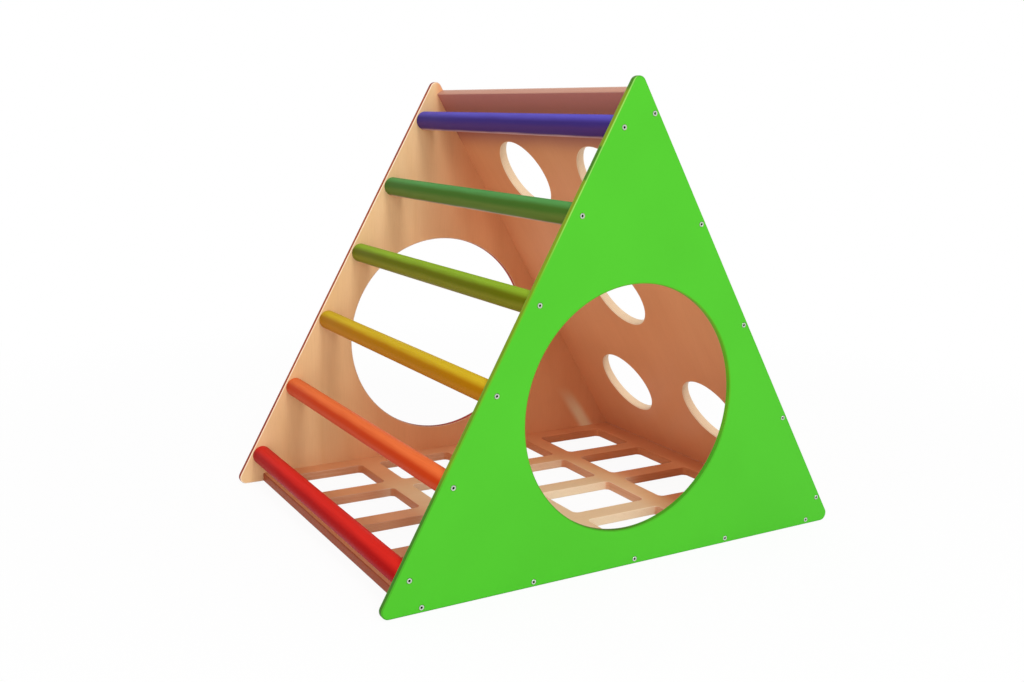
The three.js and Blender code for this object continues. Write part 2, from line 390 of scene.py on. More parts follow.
class Value:
    """A number in a shader graph, on which Python's operators work."""

    def __init__(self, graph: "Graph", socket: NodeSocket) -> None:
        """Wraps an output socket of a graph."""
        self.graph = graph
        self.socket = socket

    def _math(self, operation: str, *values: "Value | float") -> "Value":
        """Adds a Math node on these values."""
        made = self.graph.node("Math", dict(enumerate(values)), operation=operation)
        return Value(self.graph, made.outputs[0])

    def __add__(self, other: "Value | float") -> "Value":
        """self + other."""
        return self._math("ADD", self, other)

    def __sub__(self, other: "Value | float") -> "Value":
        """self - other."""
        return self._math("SUBTRACT", self, other)

    def __rsub__(self, other: float) -> "Value":
        """other - self."""
        return self._math("SUBTRACT", other, self)

    def __mul__(self, other: "Value | float") -> "Value":
        """self * other."""
        return self._math("MULTIPLY", self, other)

    def __truediv__(self, other: "Value | float") -> "Value":
        """self / other."""
        return self._math("DIVIDE", self, other)

    def abs(self) -> "Value":
        """The value without its sign."""
        return self._math("ABSOLUTE", self)

    def fraction(self) -> "Value":
        """The part after the point."""
        return self._math("FRACT", self)

    def wave(self) -> "Value":
        """A triangle wave from 0 to 1 and back over each whole step."""
        return self._math("PINGPONG", self, 0.5) * 2.0

    def most(self, other: "Value | float") -> "Value":
        """The larger of the two."""
        return self._math("MAXIMUM", self, other)

    def ramp(self, low: float, high: float) -> "Value":
        """A smooth step from 0 at low to 1 at high, which may lie below low."""
        ends = {"Value": self, "From Min": low, "From Max": high}
        made = self.graph.node("MapRange", ends, interpolation_type="SMOOTHSTEP")
        return Value(self.graph, made.outputs["Result"])


Point = tuple[Value, Value, Value]
Wood = tuple[NodeSocket, Value]


@dataclass(frozen=True)
class Colour:
    """A colour as it is seen on a screen, each part from 0 to 255."""

    red: float
    green: float
    blue: float

    def linear(self) -> tuple[float, float, float, float]:
        """The colour as light, with its alpha."""
        parts = [part / 255 for part in (self.red, self.green, self.blue)]
        light = [p / 12.92 if p <= 0.04045 else ((p + 0.055) / 1.055) ** 2.4 for p in parts]
        return (*light, 1.0)


WHITE = Colour(255, 255, 255)


class Graph:
    """The node graph of one material or of the world."""

    def __init__(self, owner: Material | bpy.types.World) -> None:
        """Empties the owner's node tree."""
        owner.use_nodes = True
        self.owner = owner
        self.tree = owner.node_tree
        self.tree.nodes.clear()

    @classmethod
    def material(cls, name: str) -> "Graph":
        """The graph of a new material."""
        return cls(bpy.data.materials.new(name))

    def node(self, kind: str, inputs: dict, **settings: str) -> bpy.types.Node:
        """Adds a node.

        Args:
            kind: The node's type, without its first word.
            inputs: The values and links of its sockets, by name or number.
            settings: Its properties, which are set first.

        Returns:
            The new node.
        """
        made = self.tree.nodes.new(f"ShaderNode{kind}")
        for name, value in settings.items():
            setattr(made, name, value)
        for name, value in inputs.items():
            socket = made.inputs[name]
            if isinstance(value, Value):
                self.tree.links.new(value.socket, socket)
            elif isinstance(value, NodeSocket):
                self.tree.links.new(value, socket)
            elif isinstance(value, Colour):
                socket.default_value = value.linear()
            else:
                socket.default_value = value
        return made

    def point(self) -> Point:
        """The point on the surface in the module's frame."""
        return self.parts(self.node("TexCoord", {}).outputs["Object"])

    def within(self, place: Matrix) -> Point:
        """The point on the surface in the frame of the piece that the matrix places."""
        source = self.node("TexCoord", {}).outputs["Object"]
        shift = {0: source, 1: place.to_translation()}
        moved = self.node("VectorMath", shift, operation="SUBTRACT").outputs[0]
        axes = place.to_3x3().transposed()
        pairs = [{0: moved, 1: axis} for axis in axes]
        dots = [self.node("VectorMath", pair, operation="DOT_PRODUCT") for pair in pairs]
        return tuple(Value(self, dot.outputs["Value"]) for dot in dots)

    def parts(self, vector: NodeSocket) -> Point:
        """The three numbers of a vector."""
        made = self.node("SeparateXYZ", {0: vector})
        return tuple(Value(self, socket) for socket in made.outputs)

    def normal(self) -> Point:
        """The way that the surface faces in the module's frame."""
        return self.parts(self.node("NewGeometry", {}).outputs["Normal"])

    def attribute(self, name: str) -> Value:
        """A number that the piece's points carry."""
        made = self.node("Attribute", {}, attribute_type="GEOMETRY", attribute_name=name)
        return Value(self, made.outputs["Fac"])

    def noise(self, *at: Value | float, detail: float, rough: float = 0.5) -> Value:
        """Noise from 0 to 1 at a scaled point, with that many finer layers of that strength."""
        vector = self.node("CombineXYZ", dict(enumerate(at))).outputs[0]
        inputs = {"Vector": vector, "Scale": 1.0, "Detail": detail, "Roughness": rough}
        made = self.node("TexNoise", inputs, noise_dimensions="3D")
        return Value(self, made.outputs["Fac"])

    def cloud(self, at: Point, scale: float, detail: float = 2.0) -> Value:
        """Noise of one scale all round, in cells for each metre."""
        return self.noise(*(part * scale for part in at), detail=detail)

    def mix(self, factor: Value | float, low: object, high: object) -> NodeSocket:
        """A blend from one colour to another, each given as a colour or its socket."""
        inputs = {0: factor, 6: low, 7: high}
        return self.node("Mix", inputs, data_type="RGBA").outputs[2]

    def bump(self, height: Value, distance: float) -> NodeSocket:
        """A normal from a height, whose 1 stands a distance proud."""
        return self.node("Bump", {"Height": height, "Distance": distance}).outputs["Normal"]

    def seen(self) -> Value:
        """1 for what the camera sees, also in gloss and through glass."""
        path = self.node("LightPath", {})
        names = ("Is Camera Ray", "Is Glossy Ray", "Is Transmission Ray")
        camera, glossy, through = (Value(self, path.outputs[name]) for name in names)
        return camera.most(glossy).most(through)

    def surface(self, **inputs: object) -> Material:
        """Ends the graph in one Principled shader, whose sockets have underscores for spaces."""
        named = {name.replace("_", " "): value for name, value in inputs.items()}
        shader = self.node("BsdfPrincipled", named)
        self.node("OutputMaterial", {"Surface": shader.outputs[0]})
        return self.owner


def depth_within(graph: Graph) -> Value:
    """How deep a point lies in the module, from 0 on the front slope to 1 on the back one."""
    _, y, z = graph.point()
    slopes = (TRIANGLE.front, TRIANGLE.back)
    from_front, from_back = ((y - s.foot.x) * s.inward.x + z * s.inward.y for s in slopes)
    return from_front / (from_front + from_back)


# Finishes


@dataclass(frozen=True)
class Tone:
    """How deep the painted light and shade on bare wood go: -1 pale painted light, 0 the
    cream of the wood, 1 terracotta painted shade and 2 dusky, deeper painted shade.

    The painted shade deepens from front to back between two depths in the module.
    Shares of it also come towards the red side, towards the front, near the ground and
    on walls that face the front. The front edge gets deeper painted shade, and the top
    edge gets a painted mauve of shade and of the blue rung's reflection.
    """

    front: float
    back: float
    outside: float
    edge_front: float
    edge_back: float
    # turn gives the two depths between which the painted shade deepens; the fields after it weigh more
    # painted shade, and the top edge's painted mauve.
    turn: tuple[float, float] = (0.0, 0.95)
    aside: float = 0.0
    ahead: float = 0.0
    below: float = 0.0
    facing: float = 0.0
    lip: float = 0.0
    top_shade_reflection: float = 0.0

    def turned(self, graph: Graph, deep: Value) -> Value:
        """How deep the painted shade is from front to back, from 0 to 1."""
        x, _, z = graph.point()
        # Painted shade towards the red side, towards the front and near the ground.
        near = (x.ramp(0.05, -0.27) * self.aside).most(deep.ramp(0.37, 0.22) * self.ahead)
        near = near.most(z.ramp(0.55, 0.05) * deep.ramp(0.02, 0.4) * self.below)
        return 1.0 - (1.0 - near) * (1.0 - deep.ramp(*self.turn))

    def face(self, share: Value) -> Value:
        """The inner face's level of painted light and shade at a share of the deepening."""
        return share * (self.back - self.front) + self.front

    def edge(self, graph: Graph, share: Value, deep: Value) -> Value:
        """The walls' level of painted light and shade at a share of the deepening."""
        left = (1.0 - self.edge_front) - share * (self.edge_back - self.edge_front)
        # Painted shade on walls that face the front, and deeper painted shade on the front edge.
        shaded = graph.normal()[1].ramp(0.2, -0.7) * self.facing
        return 1.0 - left * (1.0 - shaded) + deep.ramp(0.12, 0.07) * self.lip


@dataclass(frozen=True)
class Birch:
    """Clear varnished birch plywood, with its veneer, plies and glue lines, and colours for painted light
    and shade.
    """

    # pale is painted light; clay and rust are terracotta painted shade, dusk is deeper painted shade.
    pale: Colour = Colour(236, 218, 178)
    cream: Colour = Colour(242, 205, 156)
    honey: Colour = Colour(230, 187, 134)
    clay: Colour = Colour(230, 159, 112)
    rust: Colour = Colour(222, 149, 102)
    dusk: Colour = Colour(181, 113, 99)
    pore: Colour = Colour(150, 88, 52)
    # On the walls core_pale is painted light, core_deep and core_dusk are painted shade.
    core_pale: Colour = Colour(250, 240, 208)
    core: Colour = Colour(246, 223, 192)
    core_cross: Colour = Colour(232, 197, 156)
    core_deep: Colour = Colour(198, 120, 76)
    core_dusk: Colour = Colour(152, 74, 46)
    glue: Colour = Colour(176, 120, 88)
    # A painted mauve of shade and of the blue rung's reflection, for the top edge.
    top_shade_reflection: Colour = Colour(178, 120, 112)
    roughness: float = 0.42
    specular: float = 0.06
    relief: float = 0.04 * MM

    def dress(self, graph: Graph, own: Point, ply: Ply, tone: Tone, inside: Inside) -> Wood:
        """The wood's colour, with painted light and shade, and the height of its grain.

        Args:
            graph: The material's graph.
            own: The point in the sheet, with the grain along the first number and
                the thickness along the third.
            ply: The sheet.
            tone: How the painted light and shade change over the module.
            inside: The sheet's inner face.

        Returns:
            The colour's socket and the grain's height.
        """
        along, across, depth = own
        wall = graph.attribute("wall")
        deep = depth_within(graph)
        low, high = (0.6, 0.4) if inside is Inside.LOW else (0.4, 0.6)
        inner = depth.ramp(low * ply.thickness, high * ply.thickness)
        cloud = graph.noise(along * 3.0, across * 5.0, depth * 5.0, detail=2.0)
        # How deep the painted light and shade go here, by face and place, with random clouds.
        share = tone.turned(graph, deep)
        turned = (tone.face(share) - tone.outside) * inner + tone.outside + (cloud - 0.5) * 0.35
        face, height = self._veneer(graph, along, across, turned)
        core, lines = self._plies(graph, own, ply, tone.edge(graph, share, deep))
        # The top edge gets a painted mauve of shade and of the blue rung's reflection.
        core = graph.mix(graph.point()[2].ramp(0.78, 0.8) * tone.top_shade_reflection, core, self.top_shade_reflection)
        return graph.mix(wall, face, core), height * (1.0 - wall) + lines * wall

    def _veneer(self, graph: Graph, along: Value, across: Value, turned: Value) -> Wood:
        """The face veneer, with its soft figure, fibres and pores, pale under painted light and
        terracotta to dusky under painted shade.
        """
        broad = graph.noise(along * 1.8, across * 9.0, 1.7, detail=2.0, rough=0.5)
        flame = graph.noise(along * 1.0, across * 5.0, 3.7, detail=2.0, rough=0.45)
        rings = (flame * 9.0).wave().ramp(0.5, 1.0)
        fibre = graph.noise(along * 24.0, across * 800.0, 5.3, detail=2.0, rough=0.6)
        fleck = graph.noise(along * 60.0, across * 1300.0, 7.9, detail=1.0).ramp(0.66, 0.76)
        figure = broad.ramp(0.25, 0.75) * 0.7 + rings * 0.2
        unshaded_wood = graph.mix(figure, self.cream, self.honey)
        # Cream made pale by painted light, then terracotta and dusky by painted shade.
        unshaded_wood = graph.mix(turned.ramp(0.0, -1.0), unshaded_wood, self.pale)
        shaded_wood = graph.mix(figure * 0.7, self.clay, self.rust)
        colour = graph.mix(turned.ramp(0.0, 1.0), unshaded_wood, shaded_wood)
        colour = graph.mix(turned.ramp(1.0, 2.0), colour, self.dusk)
        colour = graph.mix(fibre.ramp(0.35, 0.8) * 0.07 + fleck * 0.08, colour, self.pore)
        return colour, fibre * 0.7 + rings * 0.15

    def _plies(self, graph: Graph, own: Point, ply: Ply, turned: Value) -> Wood:
        """The sheet's wall, with its crossed plies and the glue between them, pale under painted light
        and terracotta to dusky under painted shade.
        """
        along, across, depth = own
        layer = depth / (ply.thickness / ply.layers)
        inner = layer.ramp(0.85, 1.0) * layer.ramp(ply.layers - 0.85, ply.layers - 1.0)
        crossed = (layer * 0.5).fraction().ramp(0.47, 0.53) * inner
        ends = graph.noise(along * 420.0, across * 420.0, depth * 900.0, detail=1.0)
        colour = graph.mix(crossed * (ends * 0.5 + 0.6), self.core, self.core_cross)
        line = ((layer + 0.5).fraction() - 0.5).abs().ramp(0.1, 0.02) * inner
        # Pale by painted light, terracotta and dusky by painted shade, with random streaks.
        colour = graph.mix(turned.ramp(0.0, -1.0), colour, self.core_pale)
        colour = graph.mix(line * 0.35, colour, self.glue)
        streak = graph.noise(along * 6.0, across * 6.0, depth * 260.0, detail=2.0)
        turned = turned + (streak - 0.5) * 0.3
        colour = graph.mix(turned.ramp(0.0, 1.0), colour, self.core_deep)
        return graph.mix(turned.ramp(1.0, 2.0), colour, self.core_dusk), 0.5 - line


BIRCH = Birch()


@dataclass(frozen=True)
class Varnish:
    """The finish of a bare plywood board, whose high face looks into the module, with its painted light
    and shade.
    """

    name: str
    tone: Tone
    smudge: float = 0.12

    def build(self, place: Matrix, ply: Ply) -> Material:
        """Makes the material for a board of that sheet, with the grain along its own Y."""
        graph = Graph.material(self.name)
        x, y, depth = own = graph.within(place)
        colour, height = BIRCH.dress(graph, (y, x, depth), ply, self.tone, Inside.HIGH)
        smudge = graph.cloud(own, 9.0)
        return graph.surface(
            Base_Color=colour,
            Roughness=smudge * self.smudge + (BIRCH.roughness - self.smudge / 2),
            Specular_IOR_Level=BIRCH.specular,
            Normal=graph.bump(height, BIRCH.relief),
        )


# The back panel: its inner face in deep painted shade, its outer face and walls in lighter painted shade,
# and a painted mauve on its top edge.
BACK_VARNISH = Varnish(
    "back_panel_birch",
    Tone(
        front=2.1, back=1.05, outside=0.25, edge_front=0.55, edge_back=0.1,
        turn=(0.83, 0.9), top_shade_reflection=0.6,
    ),
)
# The floor: pale painted light on its face and walls towards the front and near side, painted shade
# towards the back, the red side and along the front strip, on walls that face the front and deepest on
# the front edge.
FLOOR_VARNISH = Varnish(
    "floor_birch",
    Tone(
        front=-0.75, back=1.05, outside=0.3, edge_front=-0.9, edge_back=0.9,
        turn=(0.67, 0.81), aside=0.83, ahead=0.83, facing=0.75, lip=1.0,
    ),
)


@dataclass(frozen=True)
class PanelPaint:
    """Semi-gloss paint on a side panel's outer face and edges, with a wobbly inner border."""

    colour: Colour
    # rim is the edges' darker green, partly painted shade; next the olive painted reflection of the wood,
    # then the painted highlight.
    rim: Colour
    rim_wood_reflection: Colour
    glint: Colour
    roughness: float = 0.4
    specular: float = 0.08
    start: float = 1.2 * MM
    fade: float = 0.3 * MM
    wobble: float = 0.8 * MM
    peel: float = 0.08
    # Painted shade on the bare inner face, deeper towards the back and near the ground.
    tone: Tone = Tone(
        front=0.0, back=0.85, outside=0.3, edge_front=0.0, edge_back=0.6,
        turn=(0.05, 1.0), below=0.8,
    )

    def build(self, name: str, place: Matrix) -> Material:
        """Makes the material for a panel in its place, with a bare inner face."""
        graph = Graph.material(name)
        x, y, depth = own = graph.within(place)
        wood, grain = BIRCH.dress(graph, (y, x, depth), STOCK.side_ply, self.tone, Inside.LOW)
        wood = graph.mix(self._gleam(x, y), wood, BIRCH.pale)
        edge = depth + (graph.cloud(own, 60.0) - 0.5) * self.wobble
        painted = edge.ramp(self.start - self.fade, self.start + self.fade)
        peel = graph.cloud(own, 380.0)
        matt = self.roughness - BIRCH.roughness - self.peel / 2
        return graph.surface(
            Base_Color=graph.mix(painted, wood, self._coat(graph, own)),
            Roughness=painted * (peel * self.peel + matt) + BIRCH.roughness,
            Specular_IOR_Level=self.specular,
            Normal=graph.bump(painted * (peel * 0.5 - grain) + grain, BIRCH.relief),
        )

    def _gleam(self, x: Value, y: Value) -> Value:
        """The streak of light on the bare face, low down before the back joint."""
        off_streak = (x + y * 0.7 - 0.42).abs()
        return off_streak.ramp(0.028, 0.004) * y.ramp(0.135, 0.055) * 0.85

    def _coat(self, graph: Graph, own: Point) -> NodeSocket:
        """The paint's colour: even on the face; on the edges a darker green, partly paint drawn into the
        end grain and partly painted shade, with olive painted reflection of the wood and lighter towards
        the back; a painted highlight on the front arris.
        """
        x, y, depth = own
        wall, arris = graph.attribute("wall"), graph.attribute("arris")
        # Olive painted reflection of the wood on the edges: mottled, stronger higher up, held back at the
        # apex, the foot and one band.
        reflection_mottle = graph.noise(x * 14.0, y * 14.0, depth * 160.0, detail=3.0)
        apex, foot = y.ramp(0.83, 0.84), y.ramp(0.24, 0.17)
        band = y.ramp(0.685, 0.69) * y.ramp(0.745, 0.74)
        no_reflection = apex.most(band).most(foot)
        wood_reflection = y.ramp(0.15, 0.7) * 0.4 + 0.3 + (reflection_mottle - 0.5) * 0.8
        edge = graph.mix(wood_reflection.ramp(0.0, 0.6) * (1.0 - no_reflection * 0.85), self.rim, self.rim_wood_reflection)
        # The edges are lighter towards the back.
        edge = graph.mix(x.ramp(-0.05, 0.05) * 0.45, edge, self.colour)
        coat = graph.mix(graph.cloud(own, 5.0).ramp(0.3, 0.7) * 0.06, self.colour, self.rim)
        coat = graph.mix(wall * (1.0 - arris * 0.6), coat, edge)
        outer = STOCK.side_ply.thickness
        # A painted highlight on the front arris, high up.
        lit = graph.normal()[1].ramp(-0.15, -0.45) * y.ramp(0.5, 0.65)
        lit = lit * depth.ramp(0.75 * outer, outer)
        return graph.mix(lit * arris * 0.4, coat, self.glint)


# Each panel: its paint, the edges' darker green that is partly painted shade, the olive painted
# reflection of the wood, and a painted highlight.
PANEL_PAINTS = {
    Side.GREEN: PanelPaint(
        colour=Colour(80, 193, 44),
        rim=Colour(50, 112, 18),
        rim_wood_reflection=Colour(122, 142, 12),
        glint=Colour(190, 240, 130),
    ),
    Side.RED: PanelPaint(
        colour=Colour(196, 34, 24),
        rim=Colour(130, 42, 10),
        rim_wood_reflection=Colour(150, 64, 12),
        glint=Colour(240, 140, 110),
    ),
}


@dataclass(frozen=True)
class RungPaint:
    """Semi-gloss paint on a round rung from the lathe, with light and shade painted in bands: a painted
    highlight on the crown, painted shade on the body, and painted reflection of the floor on the belly
    and underside.
    """

    label: str
    slot: str
    # crown is a painted highlight, body the paint in painted shade, belly and bounce a painted reflection
    # of the floor.
    crown: Colour
    body: Colour
    belly: Colour
    rise: float = 0.4
    bounce: Colour = Colour(236, 186, 178)
    roughness: float = 0.4
    specular: float = 0.01
    grain: float = 0.12
    relief: float = 0.05 * MM

    def build(self, at: Vector, radius: float) -> Material:
        """Makes the material for a rung of that radius, whose axis lies at (y, z)."""
        graph = Graph.material(f"{self.label}_rung_paint")
        x, y, z = graph.within(Matrix.Translation((0, at.x, at.y)))
        grain = graph.noise(x * 10.0, y * 380.0, z * 380.0, detail=3.0, rough=0.6)
        cloud = graph.noise(x * 9.0, y * 60.0, z * 60.0, detail=2.0)
        height = z / radius + (cloud - 0.5) * 0.2
        # Painted highlight on the crown, painted shade on the body, painted reflection of the floor lower
        # down.
        colour = graph.mix(height.ramp(self.rise, 1.0), self.body, self.crown)
        colour = graph.mix(height.ramp(0.25, -0.3), colour, self.belly)
        colour = graph.mix(height.ramp(-0.76, -1.0) * 0.7, colour, self.bounce)
        return graph.surface(
            Base_Color=graph.mix(grain.ramp(0.45, 0.7) * 0.18, colour, self.body),
            Roughness=grain * self.grain + (self.roughness - self.grain / 2),
            Specular_IOR_Level=self.specular,
            Normal=graph.bump(grain * 0.7 + cloud * 0.3, self.relief),
        )


# Each rung: label, slot, crown with its painted highlight, body in painted shade, belly with painted
# reflection of the floor, and for blue a lower start of the crown.
RUNG_PAINTS = (
    RungPaint("red", "red_paint", Colour(214, 42, 33), Colour(160, 20, 20), Colour(162, 42, 48)),
    RungPaint("orange", "orange_paint", Colour(233, 115, 60), Colour(186, 58, 20), Colour(198, 80, 52)),
    RungPaint("yellow", "yellow_paint", Colour(210, 179, 38), Colour(164, 106, 6), Colour(180, 118, 30)),
    RungPaint("lime", "lime_paint", Colour(142, 178, 46), Colour(94, 98, 10), Colour(124, 122, 34)),
    RungPaint("green", "dark_green_paint", Colour(86, 154, 82), Colour(64, 100, 34), Colour(94, 114, 48)),
    RungPaint("blue", "blue_paint", Colour(94, 84, 190), Colour(58, 42, 110), Colour(76, 48, 104), 0.25),
)


@dataclass(frozen=True)
class ZincPlate:
    """Bright zinc-plated steel with a faint frost, tinted green as a painted reflection of the green
    paint, and with painted light in the socket.
    """

    head_top: float
    # bright and dull are the zinc's blotches, both tinted green by painted reflection of the green paint.
    bright: Colour = Colour(216, 228, 212)
    dull: Colour = Colour(158, 172, 154)
    socket_painted_light: Colour = Colour(200, 216, 190)
    frost: float = 0.01 * MM

    def build(self) -> Material:
        """Makes the material."""
        graph = Graph.material("zinc_plated_steel")
        point = graph.point()
        blotch = graph.cloud(point, 900.0, detail=3.0)
        zinc = graph.mix(blotch.ramp(0.35, 0.7), self.bright, self.dull)
        # Below the head's top the socket is pale and not metal: painted light in its shaded hollow.
        sunk = point[0].abs().ramp(self.head_top - 0.2 * MM, self.head_top - 0.6 * MM)
        return graph.surface(
            Base_Color=graph.mix(sunk, zinc, self.socket_painted_light),
            Metallic=1.0 - sunk,
            Roughness=blotch * 0.2 + 0.16,
            Normal=graph.bump(graph.cloud(point, 6000.0), self.frost),
        )


# Sub-assemblies


@dataclass
class Screws:
    """Countersunk screws with hexagon sockets."""

    length: float = 50 * MM
    shank_radius: float = 2.5 * MM
    head_radius: float = 4.5 * MM
    head_land: float = 0.6 * MM
    tip_length: float = 6 * MM
    tip_radius: float = 0.3 * MM
    socket_across_flats: float = 4 * MM
    socket_depth: float = 2.4 * MM
    socket_corner: float = 0.15 * MM
    recess: float = 0.2 * MM
    rim_break: float = 0.12 * MM
    mouth_drop: float = 0.03 * MM
    lip: float = 0.8 * MM
    steps: int = 48
    material: Material = field(init=False)

    def __post_init__(self) -> None:
        """Makes the screws' finish."""
        self.material = ZincPlate(self.head_top).build()

    @property
    def head_top(self) -> float:
        """How far a head's top lies from the module's middle."""
        return STOCK.overall_width / 2 - self.recess

    @property
    def cone_depth(self) -> float:
        """The depth of the head's cone under the head's top."""
        return self.head_land + self.head_radius - self.shank_radius

    def seat_profile(self) -> Profile:
        """The seat's wall in a side panel, as radii and depths from the inner face."""
        ply, gap = STOCK.side_ply.thickness, STOCK.seat_gap
        wide, narrow = self.head_radius + gap, self.shank_radius + gap
        return [
            (narrow, 0.0),
            (narrow, ply - self.recess - self.cone_depth),
            (wide, ply - self.recess - self.head_land),
            (wide, ply - self.lip),
            (wide + self.lip, ply),
        ]

    def build(self, name: str, at: Vector, side: Side) -> None:
        """Models one screw and drives it in.

        Args:
            name: What the screw holds, with its number.
            at: The screw's place on its side panel, as (y, z).
            side: The panel that it goes through.
        """
        piece = Piece(f"screw_{side.label}_{name}")
        body = [
            (self.tip_radius, -self.length),
            (self.shank_radius, self.tip_length - self.length),
            (self.shank_radius, -self.cone_depth),
            (self.head_radius, -self.head_land),
            (self.head_radius, -self.rim_break),
            (self.head_radius - self.rim_break, 0.0),
        ]
        tip, rim = piece.loft(Outline.circle(Vector((0, 0)), 0.0, self.steps), body)
        reach = self.socket_across_flats / 2 / math.cos(math.pi / 6)
        turns = [math.pi / 3 * i for i in range(6)]
        corners = [Vector((math.cos(turn), math.sin(turn))) * reach for turn in turns]
        socket = [(self.rim_break, -self.mouth_drop), (0.0, -self.rim_break)]
        socket.append((0.0, -self.socket_depth))
        mouth, bottom = piece.loft(Outline.polygon(corners, self.socket_corner, self.steps), socket)
        bmesh.ops.bridge_loops(piece.mesh, edges=rim + mouth)
        piece.cap([tip], -1)
        piece.cap([bottom], 1)
        place = crosswise(side.value, side.value * self.head_top, at)
        piece.finish(place, self.material, f"{side.label}_screw_{name}", "steel")


@dataclass
class Rungs:
    """The six painted rungs on the front slope, from the lowest up."""

    radius: float = 20 * MM
    start: float = 80 * MM
    end: float = 99 * MM
    inset: float = 23 * MM
    end_break: float = 0.6 * MM
    steps: int = 96
    paints: tuple[RungPaint, ...] = RUNG_PAINTS

    def axes(self) -> list[Vector]:
        """The rungs' axes, as points (y, z)."""
        slope, count = TRIANGLE.front, len(self.paints)
        pitch = (slope.length - self.start - self.end) / (count - 1)
        foot = slope.foot + slope.inward * self.inset
        return [foot + slope.along * (self.start + i * pitch) for i in range(count)]

    def build(self) -> None:
        """Models and dresses every rung."""
        for paint, at in zip(self.paints, self.axes()):
            self._rung(paint, at)

    def _rung(self, paint: RungPaint, at: Vector) -> None:
        """Models one rung about its axis and lays it across the module."""
        piece = Piece(f"rung_{paint.label}")
        half, cut = STOCK.piece_width / 2, self.end_break
        end = [(-2 * cut, -half), (-cut, STOCK.crown - half)]
        end += [(-cut * 0.3, cut * 0.3 - half), (0.0, cut - half)]
        profile = end + [(0.0, half * share) for share in (-0.5, 0.0, 0.5)]
        profile += [(grow, -along) for grow, along in reversed(end)]
        first, last = piece.loft(Outline.circle(Vector((0, 0)), self.radius, self.steps), profile)
        piece.cap([first], -1)
        piece.cap([last], 1)
        finish = paint.build(at, self.radius)
        piece.finish(crosswise(1, 0, at), finish, f"{paint.label}_rung", paint.slot)


@dataclass
class Board:
    """A bare plywood board that is cut square between the two side panels."""

    varnish: Varnish
    ply: Ply = STOCK.board_ply
    corner_radius: float = 3 * MM
    outline_steps: int = 32

    def make(
        self, name: str, ends: tuple[float, float], holes: Iterable[Outline], place: Matrix
    ) -> None:
        """Models and dresses the board of that name, between two ends along its own Y."""
        piece = Sheet(f"{name}_sheet", self.ply)
        half = STOCK.inner_width / 2 + STOCK.overrun
        low, high = Vector((-half, ends[0])), Vector((half, ends[1]))
        outline = Outline.rectangle(low, high, self.corner_radius, self.outline_steps)
        piece.face(piece.cut(outline, holes))
        piece.cut_to_width(STOCK.piece_width)
        piece.mark_walls()
        piece.finish(place, self.varnish.build(place, self.ply), name, "birch_plywood")


@dataclass
class BackPanel(Board):
    """The back panel with its five round holes, which stands on the floor."""

    varnish: Varnish = BACK_VARNISH
    top_setback: float = 35 * MM
    hole_radius: float = 79 * MM
    hole_pitch_x: float = 294 * MM
    hole_pitch_slope: float = 565 * MM
    screw_shares: tuple[float, ...] = (0.037, 0.256, 0.49, 0.721, 0.951)
    hole_steps: int = 112

    @property
    def low(self) -> float:
        """The panel's lower end, up the back slope."""
        angle = TRIANGLE.back.angle
        height = self.ply.thickness + STOCK.seat_gap + STOCK.edge_round
        lean = (self.ply.thickness - STOCK.edge_round) * math.cos(angle)
        return (height + lean) / math.sin(angle) - STOCK.edge_round

    @property
    def high(self) -> float:
        """The panel's upper end, up the back slope."""
        return TRIANGLE.back.length - self.top_setback

    def screw_points(self) -> list[Vector]:
        """The screws' places, as points (y, z)."""
        slope = TRIANGLE.back
        foot = slope.foot + slope.inward * (self.ply.thickness / 2)
        span = self.high - self.low
        return [foot + slope.along * (self.low + share * span) for share in self.screw_shares]

    def holes(self) -> list[Outline]:
        """The five holes, as on a five of dice."""
        middle = (self.low + self.high) / 2
        xs = (-self.hole_pitch_x / 2, self.hole_pitch_x / 2)
        ys = (middle - self.hole_pitch_slope / 2, middle + self.hole_pitch_slope / 2)
        centres = [Vector((0, middle))] + [Vector((x, y)) for x in xs for y in ys]
        return [Outline.circle(centre, self.hole_radius, self.hole_steps) for centre in centres]

    def build(self) -> None:
        """Leans the panel against the back slope."""
        slope = TRIANGLE.back
        foot, along, inward = slope.foot, slope.along, slope.inward
        ahead = (0, along.x, inward.x, foot.x)
        place = Matrix(((1, 0, 0, 0), ahead, (0, along.y, inward.y, foot.y), (0, 0, 0, 1)))
        self.make("back_panel", (self.low, self.high), self.holes(), place)


